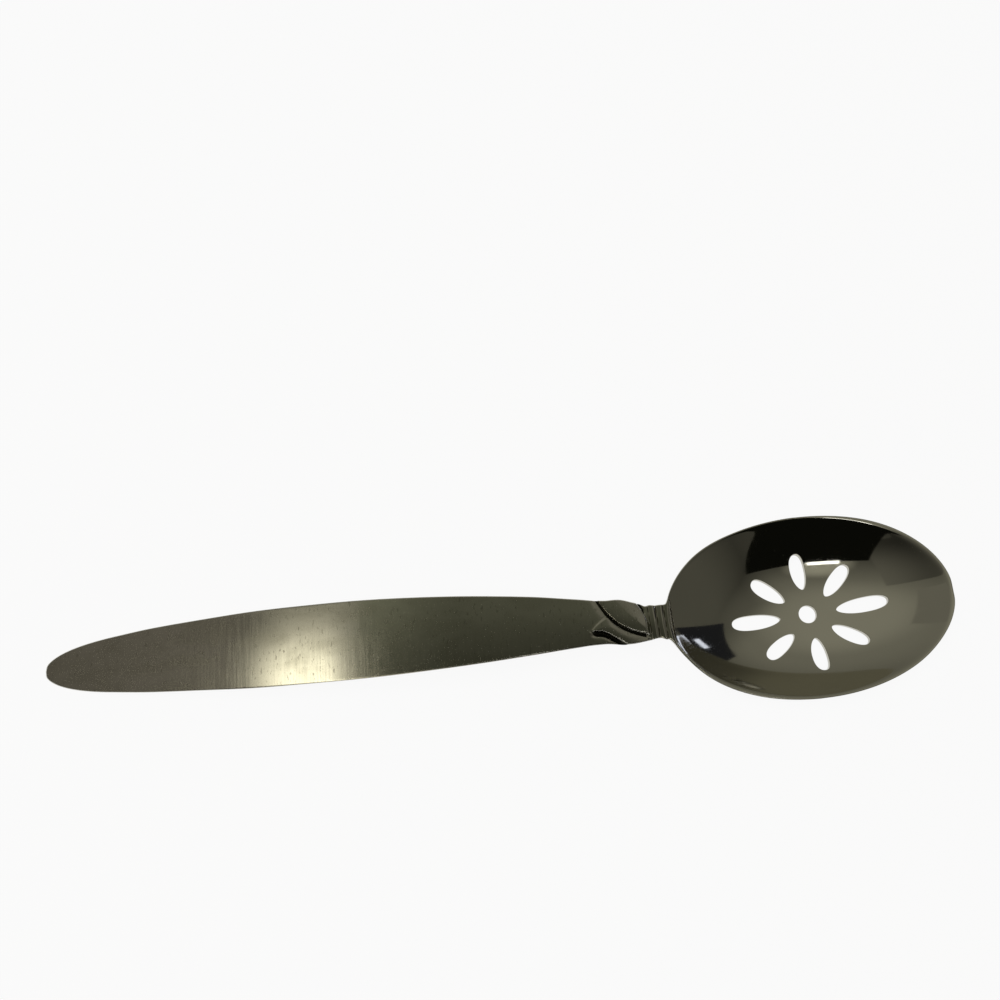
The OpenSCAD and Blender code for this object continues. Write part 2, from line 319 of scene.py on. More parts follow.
def scoop(d, reach):
    return bump(np.minimum(0, d + 0.1) / reach) * (1 - ease((d + 0.1) / 0.4))


def valley(x, y):
    along = ease((x - leaf_x + 2) / 5) * mix(0.55, 1, ease((x - leaf_x - 4) / 4))
    return along * scoop(upper_inside(x, y), 1.3)


def hollow(x, y):
    along = ease((x - leaf_x + 0.4) / 2.6) * (1 - ease(upper_inside(x, y) + 1))
    return along * scoop(above_undercut(x, y), 0.9)


def relief(x, y):
    up = upper_inside(x, y)
    low = np.minimum(lower_inside(x, y), above_undercut(x, y) + 0.4)
    lower = lower_leaf_h * pillow(low, 1.1) * (1 - 0.45 * ease(up + 1))
    leaves = np.maximum(upper_leaf_h * pillow(up, 0.55), lower)
    fade = 1 - ease((x - collar_x + 1.2) / 1.4)
    return fade * (leaves - leaf_valley * valley(x, y) - undercut * hollow(x, y))


def ridges(x, y):
    u = (x + math.tan(math.radians(ridge_slant)) * y - collar_x) / ridge_pitch
    round_top = np.sqrt(np.maximum(0, np.sin(math.pi * (u - np.floor(u)))))
    return np.where((u < 0) | (u > ridge_n), 0, ridge_h * round_top)


def ornament(x, y):
    here = (x > leaf_x - 2) & (x < bowl_start + 2)
    return np.where(here, relief(x, y) + ridges(x, y), 0)


# %% [markdown]
# The upper and the lower surface of the pressed spoon. The steel is thicker under the neck
# and thin in the bowl, and it is measured square to the surface, so on the bowl's steep
# walls it takes more height. Both ends are rounded over.

# %% Upper and lower surface
def end_share(x):
    r = np.minimum(end_t, rim_t) / 2
    d = np.clip(np.minimum(x, overall_l - x) / r, 0, 1)
    return np.sqrt(np.maximum(0, 1 - (1 - d) ** 2))


def surfaces(x, y):
    z = face_z(x, y)
    d = 0.05
    slope_x = (face_z(x + d, y) - face_z(x - d, y)) / (2 * d)
    slope_y = (face_z(x, y + d) - face_z(x, y - d)) / (2 * d)
    full = steel_t(x) * np.sqrt(1 + np.minimum(1.2, slope_x**2 + slope_y**2))
    edge = np.where(x > bowl_start, np.maximum(edge_h(x), full), edge_h(x))
    side = np.sign(y - line_y(x))
    t = np.clip(np.abs(y - line_y(x)) / np.maximum(0.1, side_w(x, side) - top_r(x)), 0, 1)
    depth = mix(full, np.minimum(edge, full), t**4)
    loss = (1 - end_share(x)) * depth / 2
    return z + ornament(x, y) - loss, z - depth + loss


# %% [markdown]
# The blank starts as a plain grid. One way round, its lines become the stations along the
# spoon, close together where the leaves and ridges will stand. The other way, they go
# round the section: across the face, round one edge, back along the underside and round
# the other edge. Laid on those places the grid is a skin rolled shut, and merging the
# doubled points closes its seam and both ends. It is still flat, like sheet steel.

# %% The flat blank
BLANK_T = 2.0
# Cells along the spoon, and round its section
END_CELLS, HANDLE_CELLS, CARVED_CELLS, BOWL_CELLS = 24, 94, 180, 130
FACE_CELLS, EDGE_CELLS, UNDER_CELLS = 88, 10, 34
carved_from, carved_to = leaf_x - 1.5, bowl_start + 3


def stations():
    end = end_round_l * (1 - np.cos(np.linspace(0, math.pi / 2, END_CELLS + 1)))
    handle = np.linspace(end_round_l, carved_from, HANDLE_CELLS + 1)[1:]
    carved = np.linspace(carved_from, carved_to, CARVED_CELLS + 1)[1:]
    first = math.acos((bowl_x - carved_to) / bowl_a)
    bowl = bowl_x - bowl_a * np.cos(np.linspace(first, math.pi, BOWL_CELLS + 1)[1:])
    return np.concatenate([end, handle, carved, bowl])


def section_plan():
    """For each point round the section: share across, side, and turn round the edge. The
    turn is 90 degrees on the face, 0 at the widest place and -90 on the underside."""
    turn = np.linspace(math.pi / 2, -math.pi / 2, EDGE_CELLS + 1)[1:-1]
    face = [(t, 0, math.pi / 2) for t in np.linspace(-1, 1, FACE_CELLS + 1)]
    far = [(1, 1, a) for a in turn]
    under = [(t, 0, -math.pi / 2) for t in np.linspace(1, -1, UNDER_CELLS + 1)]
    near = [(-1, -1, a) for a in turn[::-1]]
    return np.array(face + far + under + near + face[:1])


def flat_blank():
    start_piece()
    x_lines, plan = stations(), section_plan()
    nx, nv = len(x_lines) - 1, len(plan) - 1
    bpy.ops.mesh.primitive_grid_add(x_subdivisions=nx, y_subdivisions=nv, size=2,
                                    location=(0, 0, 0))
    blank = bpy.context.object
    co = mesh_points(blank)
    i = np.rint((co[:, 0] + 1) / 2 * nx).astype(int)
    j = np.rint((co[:, 1] + 1) / 2 * nv).astype(int)
    x, share, side, turn = x_lines[i], plan[j, 0], plan[j, 1], plan[j, 2]
    r = np.where(turn > 0, top_r(x), under_r(x))
    y = line_y(x) + share * (side_w(x, share) - r) + side * r * np.cos(turn)
    at_end = (i == 0) | (i == nx)
    y = np.where(at_end, line_y(x), y)
    knee = 1 - 0.8 * top_r(x) / edge_h(x)
    depth = np.where(turn > 0, mix(knee, 1, np.sin(turn)), knee * (1 + np.sin(turn)))
    z = np.where(at_end, BLANK_T / 2, BLANK_T * depth)
    set_mesh_points(blank, np.stack([x, y, z], axis=1))
    bpy.ops.object.mode_set(mode="EDIT")
    bpy.ops.mesh.select_all(action="SELECT")
    bpy.ops.mesh.remove_doubles(threshold=1e-5)
    bpy.ops.mesh.normals_make_consistent(inside=False)
    bpy.ops.object.mode_set(mode="OBJECT")
    return blank


spoon = flat_blank()
spoon.name = spoon.data.name = "spoon"
print("blank:", len(spoon.data.vertices), "points,", len(spoon.data.polygons), "faces")

# %% [markdown]
# The punches. A petal is a long oval with blunt ends, widest past its middle. Each punch is
# a circle, extruded down in steps and then moved onto that outline. It grows wider where it
# passes the two faces of the sheet, which leaves the slightly rolled edge that a real
# punched hole is finished with. The die later drags the sheet as it forms the bowl, and the
# slots with it, so on the finished spoon each petal stands a little off the even pattern.
# That is easiest to give to the punches, as a small turn and a change of size for each.

# %% The punches
OUTLINE_POINTS = 64
# For each petal, starting from the one that points at the tip and going round towards the
# far side: turn in degrees, then longer, wider, and moved along x and y, in millimetres
DRAGGED = [(0, -0.5, -0.1, 0.1, -0.1), (6, -0.5, -0.1, 0, 0.25), (7.4, 0, -0.1, -0.35, 0),
           (0.9, 0.2, -0.1, -0.16, 0), (-0.6, 0.25, -0.1, 0, 0), (-8, 0.2, -0.35, -0.2, -0.07),
           (-7, -0.2, -0.1, -0.25, 0.05), (0.8, -0.5, -0.2, 0.2, -0.1)]
# Height in the blank, and how far the hole has opened there, in millimetres
ROLLED_EDGE = [(2.3, 0.3), (2.0, 0.1), (1.9, 0.045), (1.75, 0.01), (1.6, 0), (0.4, 0),
               (0.25, 0.01), (0.1, 0.045), (0, 0.1), (-0.3, 0.3)]


def punch(length, width, blunt=2, lean=1):
    """A punch that starts at the origin and points along +X. Its outline is an oval with
    blunt ends, and lean moves its widest place towards the far end."""
    start_piece()
    bpy.ops.mesh.primitive_circle_add(vertices=OUTLINE_POINTS, radius=1, fill_type="NGON")
    tool = bpy.context.object
    tool.data.transform(Matrix.Translation((0, 0, ROLLED_EDGE[0][0])))
    bpy.ops.object.mode_set(mode="EDIT")
    bpy.ops.mesh.select_all(action="SELECT")
    for (high, _), (low, _) in zip(ROLLED_EDGE, ROLLED_EDGE[1:]):
        bpy.ops.mesh.extrude_region_move(TRANSFORM_OT_translate={"value": (0, 0, low - high)})
    bpy.ops.object.mode_set(mode="OBJECT")
    co = mesh_points(tool)
    opened = np.interp(co[:, 2], *np.array(ROLLED_EDGE[::-1]).T)
    angle = np.arctan2(co[:, 1], co[:, 0])
    c, d = np.cos(angle), np.sin(angle)
    along = (1 + np.sign(c) * np.abs(c) ** (2 / blunt)) / 2
    x = length * along ** (1 / lean) + opened * c
    y = width / 2 * np.sign(d) * np.abs(d) ** (2 / blunt) + opened * d
    set_mesh_points(tool, np.stack([x, y, co[:, 2]], axis=1))
    return tool


def place_punch(tool, x, y, angle, reach, middle=0, turn=0):
    """Turn the punch about its own middle, move it out and turn it round the hub."""
    own = Matrix.Translation((reach + middle, 0, 0)) @ Matrix.Rotation(math.radians(turn), 4, "Z")
    round_hub = Matrix.Translation((x, y, 0)) @ Matrix.Rotation(math.radians(angle), 4, "Z")
    tool.data.transform(round_hub @ own @ Matrix.Translation((-middle, 0, 0)))


def punches():
    hub_x = bowl_x + hub_shift
    hub_y = float(line_y(np.array(hub_x))) + hub_side
    tools = [punch(hub_d, hub_d)]
    place_punch(tools[0], hub_x, hub_y, 0, -hub_d / 2)
    for quarter in range(4):
        straight = long_petal_l if quarter % 2 == 0 else cross_petal_l
        slant = slant_petal_angle if quarter % 2 == 0 else 90 - slant_petal_angle
        reach = petal_start + (0.8 if quarter % 2 == 0 else 0)
        for angle, length, out in ((0, straight, reach), (slant, slant_petal_l, petal_start)):
            turn, longer, wider, move_x, move_y = DRAGGED[len(tools) - 1]
            tool = punch(length + longer, petal_w + wider, petal_blunt, petal_lean)
            round_hub = 90 * quarter + angle + bowl_turn + pattern_turn
            place_punch(tool, hub_x + move_x, hub_y + move_y, round_hub, out, length / 2, turn)
            tools.append(tool)
    start_piece()
    for tool in tools:
        tool.select_set(True)
    bpy.context.view_layer.objects.active = tools[0]
    bpy.ops.object.join()
    bpy.ops.object.mode_set(mode="EDIT")
    bpy.ops.mesh.select_all(action="SELECT")
    bpy.ops.mesh.normals_make_consistent(inside=False)
    bpy.ops.object.mode_set(mode="OBJECT")
    return tools[0]


punch_set = punches()
print("punches:", len(punch_set.data.polygons), "faces")

# %% [markdown]
# Punching is one Boolean difference with all the punches joined, applied at once. While the
# blank is still flat, the edges of the holes are the only ones near the hub that turn by
# more than 50 degrees, so this is the moment to find them and mark them as sharp. On the
# bowl's slope some of them turn by less, and would be smoothed over in spots.

# %% Punch the blank
def mark_hole_edges(blank):
    bpy.ops.object.mode_set(mode="EDIT")
    bpy.ops.mesh.select_mode(type="EDGE")
    bpy.ops.mesh.select_all(action="DESELECT")
    bpy.ops.mesh.edges_select_sharp(sharpness=math.radians(50))
    bpy.ops.object.mode_set(mode="OBJECT")
    near_hub = np.abs(mesh_points(blank)[:, 0] - bowl_x) < 24
    marked = [edge for edge in blank.data.edges if edge.select and near_hub[edge.vertices[0]]]
    for edge in marked:
        edge.use_edge_sharp = True
    return len(marked)


def pierce(blank, tools):
    start_piece()
    bpy.context.view_layer.objects.active = blank
    blank.select_set(True)
    cut = blank.modifiers.new("pierce", "BOOLEAN")
    cut.operation, cut.solver, cut.object = "DIFFERENCE", "EXACT", tools
    bpy.ops.object.modifier_apply(modifier=cut.name)
    bpy.data.objects.remove(tools)


pierce(spoon, punch_set)
print("pierced:", len(spoon.data.vertices), "points,", len(spoon.data.polygons), "faces")
print("hole edges marked as sharp:", mark_hole_edges(spoon))

# %% [markdown]
# Pressing. A point's height in the flat blank says how deep in the steel it lies, from 0
# on the underside to 1 on the face. The press keeps that share and gives the point its
# place between the two formed surfaces, so the walls of the holes follow the bowl by
# themselves. The same step moves the spoon to its place in the frame.

# %% Press to form
def press(blank):
    co = mesh_points(blank)
    x, y, share = co[:, 0], co[:, 1], np.clip(co[:, 2] / BLANK_T, 0, 1)
    upper, under = surfaces(x, y)
    formed = np.stack([x, y, mix(under, upper, share)], axis=1)
    low, high = formed.min(0), formed.max(0)
    middle = np.array([overall_l / 2, (low[1] + high[1]) / 2, low[2]])
    # Where the finer form comes out a hair larger than the frame's, it is drawn in to fit.
    room_left = np.array(frame_high - frame_low) / MM / (high - low)
    set_mesh_points(blank, (formed - middle) * np.minimum(1, room_left) * MM)
    return middle


bench = press(spoon)
formed = mesh_points(spoon) / MM
print("formed: box in mm", np.round(formed.min(0), 2), np.round(formed.max(0), 2))

# %% [markdown]
# Pressed and polished steel has no facets. Smooth shading bends the normals between faces,
# so the bowl mirrors the room without steps. Where two faces meet at more than 50 degrees
# the edge stays crisp, and so do the marked edges of the slots. A Subdivision modifier would
# also smooth the bowl, but it would pull the punched holes in and round their edges too much.

# %% Smooth faces, crisp holes
start_piece()
spoon.select_set(True)
bpy.context.view_layer.objects.active = spoon
bpy.ops.object.shade_smooth_by_angle(angle=math.radians(50), keep_sharp_edges=True)
print("smooth faces:", sum(face.use_smooth for face in spoon.data.polygons))

# %% [markdown]
# All three materials, the two finishes and the painted shade of the grooves, start from the
# same stainless steel: plain metal, with Blender's own index of refraction, which metals keep.
# Patterns are read from
# Object coordinates, which move with the spoon. Noise that is stretched differently along
# x, y and z gives scratches as well as waves and smudges. A Map Range node then picks out
# the part of the noise that counts, and turns it into a share or a roughness.

# %% Plain steel and its patterns
STEEL = "#b3b0a4"
ADD, MULTIPLY, MULTIPLY_ADD, MAXIMUM = (
    {"operation": name} for name in ("ADD", "MULTIPLY", "MULTIPLY_ADD", "MAXIMUM"))
SMOOTH = {"interpolation_type": "SMOOTHSTEP"}
# A Mix node set to colours takes its share in socket 0 and the colours in sockets 6 and 7,
# and gives the mixed one in output 2.
COLOURS, MIXED = {"data_type": "RGBA"}, 2


def steel_tree(name):
    material = bpy.data.materials.new(name)
    material.use_nodes = True
    tree = material.node_tree
    shader = tree.nodes["Principled BSDF"]
    shader.inputs["Metallic"].default_value = 1
    shader.inputs["Base Color"].default_value = linear(STEEL)
    place = add_node(tree, "TexCoord").outputs["Object"]
    return material, tree, shader, place


def stretched_noise(tree, place, per_metre, detail=2.0, distortion=0.0):
    """Noise whose grain is drawn out: per_metre says how many grains lie along x, y and z."""
    spread = add_node(tree, "Mapping", sockets={"Vector": place, "Scale": per_metre})
    noise = add_node(tree, "TexNoise", sockets={
        "Vector": spread.outputs[0], "Scale": 1.0, "Detail": detail, "Distortion": distortion})
    return noise.outputs["Fac"]


def levels(low, high, to_low, to_high):
    """The numbers of a Map Range node: what goes in, and what it becomes."""
    return {"From Min": low, "From Max": high, "To Min": to_low, "To Max": to_high}


# %% [markdown]
# The handle is satin stainless steel. On the real spoon a fine belt runs across it and
# leaves short scratches at right angles to its length, and years of use add small nicks and
# a few soft smudges. Here stretched noise stands in for the belt's scratches: it is close
# set along the handle and drawn out across it. The same noise roughens the shine a little,
# because a scratched place spreads the light more.

# %% Satin brushed stainless steel
def satin_steel():
    material, tree, shader, place = steel_tree("satin_brushed_stainless_steel")
    # Real belt scratches are about 0.05 mm apart. They are drawn 0.3 mm apart, because finer
    # ones fall between the pixels and would only shimmer.
    scratches = stretched_noise(tree, place, (3300, 110, 300))
    # Smudges are 7 to 14 mm across, like the fingertips that leave them.
    smudges = stretched_noise(tree, place, (70, 150, 100), 3, 0.6)
    # Nicks are short and thin, and follow the scratches. Real ones are about 0.2 mm wide.
    # They are drawn 0.5 mm wide, so that they still show dark in the highlight.
    grains = stretched_noise(tree, place, (2000, 700, 600), 2, 0.3)
    nicks = add_node(tree, "MapRange", SMOOTH, {
        "Value": grains, **levels(0.6, 0.72, 0, 1)}).outputs[0]

    smudged = add_node(tree, "MapRange", SMOOTH, {"Value": smudges, **levels(0.35, 0.7, 0, 1)})
    worn = add_node(tree, "Mix", COLOURS, {
        0: smudged.outputs[0], 6: linear("#b7b4a8"), 7: linear("#a8a598")})
    colour = add_node(tree, "Mix", COLOURS, {
        0: nicks, 6: worn.outputs[MIXED], 7: linear("#99968a")})
    tree.links.new(colour.outputs[MIXED], shader.inputs["Base Color"])

    by_scratches = add_node(tree, "MapRange", SMOOTH, {
        "Value": scratches, **levels(0.3, 0.7, 0.16, 0.23)})
    by_smudges = add_node(tree, "MapRange", SMOOTH, {
        "Value": smudges, **levels(0.3, 0.7, -0.02, 0.05)})
    brushed = add_node(tree, "Math", ADD, {0: by_scratches.outputs[0], 1: by_smudges.outputs[0]})
    rough = add_node(tree, "Math", MULTIPLY_ADD, {0: nicks, 1: 0.08, 2: brushed.outputs[0]})
    tree.links.new(rough.outputs[0], shader.inputs["Roughness"])

    # The grooves are lower than the face, and the nicks are lower still.
    height = add_node(tree, "Math", MULTIPLY_ADD, {0: nicks, 1: -0.3, 2: scratches})
    bump_node = add_node(tree, "Bump", sockets={
        "Height": height.outputs[0], "Strength": 0.1, "Distance": 0.00001})
    tree.links.new(bump_node.outputs[0], shader.inputs["Normal"])
    return material


# %% [markdown]
# The bowl is polished until it mirrors the room. Polished sheet is never optically flat, so
# its reflections wander a little: a broad, very shallow waviness does that. Washing and
# serving leave hairlines, which only show as slightly duller patches.

# %% Mirror polished stainless steel
def mirror_steel():
    material, tree, shader, place = steel_tree("mirror_polished_stainless_steel")
    # The waves are about 10 mm long, as rolled and pressed sheet has them.
    waves = stretched_noise(tree, place, (90, 110, 100), 1, 0.3)
    # Single hairlines are too fine to show. These are the dull patches that many of them
    # make together, 1 to 2 mm across, and broader ones of about 17 mm.
    hairlines = stretched_noise(tree, place, (900, 500, 700), 3, 0.5)
    dull = stretched_noise(tree, place, (60, 60, 60), 3)

    by_hairlines = add_node(tree, "MapRange", SMOOTH, {
        "Value": hairlines, **levels(0.45, 0.75, 0.045, 0.08)})
    by_dull = add_node(tree, "MapRange", SMOOTH, {"Value": dull, **levels(0.35, 0.7, 0, 0.03)})
    rough = add_node(tree, "Math", ADD, {0: by_hairlines.outputs[0], 1: by_dull.outputs[0]})
    tree.links.new(rough.outputs[0], shader.inputs["Roughness"])
    colour = add_node(tree, "Mix", COLOURS, {0: dull, 6: linear("#b7b4a8"), 7: linear("#acaa9e")})
    tree.links.new(colour.outputs[MIXED], shader.inputs["Base Color"])
    waviness = add_node(tree, "Bump", sockets={
        "Height": waves, "Strength": 0.5, "Distance": 0.00004})
    tree.links.new(waviness.outputs[0], shader.inputs["Normal"])
    return material


# %% [markdown]
# The deep grooves beside and under the leaves get painted shade: a near-black, rough steel
# that stands in for the shade falling into them, so the leaves look drawn in ink.

# %% Painted shade in the deep grooves
def painted_shade_steel():
    material, tree, shader, place = steel_tree("painted_shade_in_the_deep_grooves")
    # Mottle in the painted shade, about 0.4 mm across
    shade_mottle = stretched_noise(tree, place, (2500, 2500, 2500), 3)
    # These near-black colours are painted shade, much darker than the steel's own colour.
    colour = add_node(tree, "Mix", COLOURS, {
        0: shade_mottle, 6: linear("#14140f"), 7: linear("#3a392f")})
    tree.links.new(colour.outputs[MIXED], shader.inputs["Base Color"])
    rough = add_node(tree, "MapRange", SMOOTH, {
        "Value": shade_mottle, **levels(0.3, 0.7, 0.35, 0.55)})
    tree.links.new(rough.outputs[0], shader.inputs["Roughness"])
    return material


# %% [markdown]
# Which finish a face gets follows from its place. The bowl and the ridges are mirror
# polished, the handle and the leaves are satin, and the faces at the bottom of the grooves
# get the near-black painted shade. The functions that carved the grooves say where those are.

# %% Give each face its finish, or painted shade
for material in (satin_steel(), mirror_steel(), painted_shade_steel()):
    spoon.data.materials.append(material)
SATIN, MIRROR, PAINTED_SHADE = range(3)
centres = np.array([face.center for face in spoon.data.polygons]) / MM + bench
face_x, face_y = centres[:, 0], centres[:, 1]
looks_up = np.array([face.normal.z for face in spoon.data.polygons]) > 0
# The painted shade line beside the upper leaf is thin where it starts and wider further on.
line_from = mix(0.95, 0.85, ease((face_x - leaf_x - 1) / 5))
beside_leaf = (scoop(upper_inside(face_x, face_y), 1.3) > line_from) & (face_x > leaf_x)
under_leaf = hollow(face_x, face_y) > 0.3
# Faces at the foot of the grooves get the material with the painted shade.
deep = (under_leaf | beside_leaf) & looks_up & (face_x < collar_x - 1)
finish = np.where(deep, PAINTED_SHADE, np.where(face_x > collar_x - 0.4, MIRROR, SATIN))
spoon.data.polygons.foreach_set("material_index", finish)
print("faces that are satin, mirror and groove:", np.bincount(finish))

# %% [markdown]
# The studio. Polished steel has hardly any look of its own: it shows the room. So most of
# the work in a picture of a spoon is to place cards and lamps where the steel mirrors them,
# as for any studio picture of cutlery. Cards are planes that only reflections see. Some are
# graded, which means that they glow more at one edge than at the other, so that their
# reflection fades.

# %% Glowing cards
def emission(name, colour, strength, x_levels=None, y_levels=None):
    """A glow. Levels grade it along an axis, as (place, share, place, share), in metres."""
    material = bpy.data.materials.new(name)
    material.use_nodes = True
    tree = material.node_tree
    tree.nodes.clear()
    level = strength
    for axis, graded in (("X", x_levels), ("Y", y_levels)):
        if graded:
            start, start_share, end, end_share = graded
            place = add_node(tree, "TexCoord").outputs["Object"]
            along = add_node(tree, "SeparateXYZ", sockets={0: place}).outputs[axis]
            share = add_node(tree, "MapRange", SMOOTH, {
                "Value": along, **levels(start, end, start_share, end_share)})
            level = add_node(tree, "Math", MULTIPLY, {0: share.outputs[0], 1: level}).outputs[0]
    glow = add_node(tree, "Emission", sockets={"Color": linear(colour), "Strength": level})
    add_node(tree, "OutputMaterial", sockets={"Surface": glow.outputs[0]})
    material.cycles.emission_sampling = "NONE"
    return material


cards = []


def card(name, corners, material):
    """A flat card through four corners in metres, seen only in the steel's reflections."""
    start_piece()
    bpy.ops.mesh.primitive_plane_add(size=2, location=(0, 0, 0))
    piece = bpy.context.object
    piece.name = name
    co = mesh_points(piece)
    u, v = (co[:, :1] + 1) / 2, (co[:, 1:2] + 1) / 2
    a, b, c, d = (np.array(p, float) for p in corners)
    set_mesh_points(piece, (a * (1 - u) + b * u) * (1 - v) + (d * (1 - u) + c * u) * v)
    piece.data.materials.append(material)
    piece.visible_camera = piece.visible_diffuse = piece.visible_shadow = False
    cards.append(name)


def level_card(name, x0, x1, y0, y1, z, material):
    card(name, [(x0, y0, z), (x1, y0, z), (x1, y1, z), (x0, y1, z)], material)


def upright_card(name, a, b, low, high, material):
    """A card that stands on the line from a to b, between two heights."""
    card(name, [(*a, low), (*b, low), (*b, high), (*a, high)], material)


# %% [markdown]
# The floor is white paper. It takes the spoon's soft shadow, and glows to the camera and in
# the steel's reflections, so that the background is white without more light on the steel.

# %% The floor
PAPER, PAPER_GLOW = "#c4c4c4", 0.92


def seen_directly(tree):
    """Two outputs: 1 for rays from the camera and for mirrored or refracted ones, else 0,
    and 1 for rays from the camera alone."""
    rays = add_node(tree, "LightPath").outputs
    first = add_node(tree, "Math", MAXIMUM, {0: rays["Is Camera Ray"], 1: rays["Is Glossy Ray"]})
    both = add_node(tree, "Math", MAXIMUM, {0: first.outputs[0], 1: rays["Is Transmission Ray"]})
    return both.outputs[0], rays["Is Camera Ray"]


def floor_material():
    material = bpy.data.materials.new("white_paper")
    material.use_nodes = True
    tree = material.node_tree
    tree.nodes.clear()
    lit = add_node(tree, "BsdfDiffuse", sockets={"Color": linear(PAPER)})
    glow = add_node(tree, "Emission", sockets={"Color": (1, 1, 1, 1), "Strength": 1.0})
    share = add_node(tree, "Math", MULTIPLY, {0: seen_directly(tree)[0], 1: PAPER_GLOW})
    paper = add_node(tree, "MixShader", sockets={
        0: share.outputs[0], 1: lit.outputs[0], 2: glow.outputs[0]})
    add_node(tree, "OutputMaterial", sockets={"Surface": paper.outputs[0]})
    return material


start_piece()
bpy.ops.mesh.primitive_plane_add(size=6, location=(0, 0, 0))
floor = bpy.context.object
floor.name = "floor"
floor.data.materials.append(floor_material())
print("floor:", round(floor.dimensions.x, 2), "m wide")

# %% [markdown]
# The room above. Its walls are a plain warm grey that grows brighter upwards, to a patch of
# ceiling that is brighter still. To the right the room is darker, with a dim doorway, and
# one place high on the near wall catches more light. A direction is a vector, so its dot
# product with a fixed one says how far round the room it points. The camera itself, and
# mirrored rays near the horizon, see a plain pale backdrop in its place.

# %% The room
ROOM_TINT, BACKDROP = (1.0, 0.98, 0.82, 1), (0.95, 0.95, 0.95, 1)


def room():
    world = bpy.data.worlds.new("studio")
    bpy.context.scene.world = world
    world.use_nodes = True
    tree = world.node_tree
    direction = add_node(tree, "TexCoord").outputs["Generated"]

    def part(toward, *numbers):
        lean = add_node(tree, "VectorMath", {"operation": "DOT_PRODUCT"}, {
            0: direction, 1: toward})
        return add_node(tree, "MapRange", SMOOTH, {
            "Value": lean.outputs["Value"], **levels(*numbers)}).outputs[0]

    walls = part((0, 0.5, 0.87), 0.1, 0.85, 0.07, 0.256)
    ceiling = part((-0.12, 0.36, 0.925), 0.72, 0.96, 0.0, 0.1)
    far_right = part((1, 0.35, 0), 0.25, 0.6, 1.0, 0.56)
    near_right = part((1, -0.6, 0), 0.25, 0.6, 1.0, 0.6)
    right = add_node(tree, "Math", MAXIMUM, {0: far_right, 1: near_right}).outputs[0]
    doorway = part((1, 0, 0), 0.4, 0.9, 0.0, 0.12)
    lit_wall = part((0.089, -0.64, 0.764), 0.95, 1.0, 0.0, 0.35)
    level = walls
    for operation, other in (
            (ADD, ceiling), (MULTIPLY, right), (MAXIMUM, doorway), (ADD, lit_wall)):
        level = add_node(tree, "Math", operation, {0: level, 1: other}).outputs[0]
    tinted = add_node(tree, "Mix", {**COLOURS, "blend_type": "MULTIPLY"}, {
        0: 1.0, 6: level, 7: ROOM_TINT})

    horizon = part((0, 0, 1), 0.0, 0.03, 1.0, 0.0)
    direct, camera_ray = seen_directly(tree)
    low = add_node(tree, "Math", MULTIPLY, {0: horizon, 1: direct})
    pale = add_node(tree, "Math", MAXIMUM, {0: camera_ray, 1: low.outputs[0]})
    colour = add_node(tree, "Mix", COLOURS, {
        0: pale.outputs[0], 6: tinted.outputs[MIXED], 7: BACKDROP})
    background = tree.nodes["Background"]
    tree.links.new(colour.outputs[MIXED], background.inputs["Color"])
    background.inputs["Strength"].default_value = 1
    return world


print("room:", len(room().node_tree.nodes), "nodes")

# %% [markdown]
# One soft lamp overhead gives the shadow on the paper. The steel doesn't mirror it, since
# its reflections are all made by the cards.

# %% The lamp
def lamp(name, place, aim, size, power):
    light = bpy.data.lights.new(name, "AREA")
    light.shape, light.size, light.energy = "DISK", size, power
    piece = bpy.data.objects.new(name, light)
    bpy.context.scene.collection.objects.link(piece)
    piece.location = place
    piece.rotation_euler = (Vector(aim) - Vector(place)).to_track_quat("-Z", "Y").to_euler()
    piece.visible_glossy = False
    return piece


overhead = lamp("overhead", (-0.35, -0.1, 1.3), (0, 0, 0), 0.7, 12)
print("lamp:", overhead.data.energy, "W")

# %% [markdown]
# The cards above the spoon. A bright one over the handle makes the broad highlight there,
# and a low one in front of it lights its near edge. Grey flags keep the handle's end and
# the neck dark. A small pale flag stands over the back of the bowl, and hides these cards
# from the wall round the bowl's tip.

# %% Cards above the spoon
GREY, WARM = "#fbffe0", "#fffcea"
level_card("flag_over_neck", -0.043, 0.055, -0.03, 0.04, 0.05,
           emission("grey_flag", GREY, 0.12, x_levels=(-0.043, 1.9, -0.008, 1.0),
                    y_levels=(-0.014, 0.5, 0.022, 1.0)))
level_card("lamp_card", -0.132, -0.0785, -0.2, 0.06, 0.12,
           emission("softbox", "#fffbe6", 3.2, x_levels=(-0.132, 0.06, -0.102, 1.0),
                    y_levels=(-0.025, 1.0, 0.045, 0.18)))
level_card("flag_over_end", -0.4, -0.132, -0.2, 0.2, 0.12,
           emission("end_flag", "#fff7e8", 0.17, x_levels=(-0.25, 1.0, -0.132, 1.15)))
upright_card("flag_over_bowl", (0.056, 0.003), (0.056, 0.045), 0.028, 0.056,
             emission("pale_flag", WARM, 0.222))
upright_card("edge_light", (-0.12, -0.16), (-0.03, -0.16), 0.008, 0.05,
             emission("low_card", "#fffbe6", 1.3))
cards_above = len(cards)
print("cards above the spoon:", cards_above)

# %% [markdown]
# The cards round the bowl. A black one in front of it, with a bright strip on top, draws
# the dark field under the far rim and its bright line. One on the far side keeps the paper
# out of the near wall, and one that lies on the paper in front of the neck keeps the bowl's
# outer edge dark there. A dark card to the right holds a small bluish window of two panes.
# The ceiling to the left is darker, which gives the soft slanting edge near the tip.

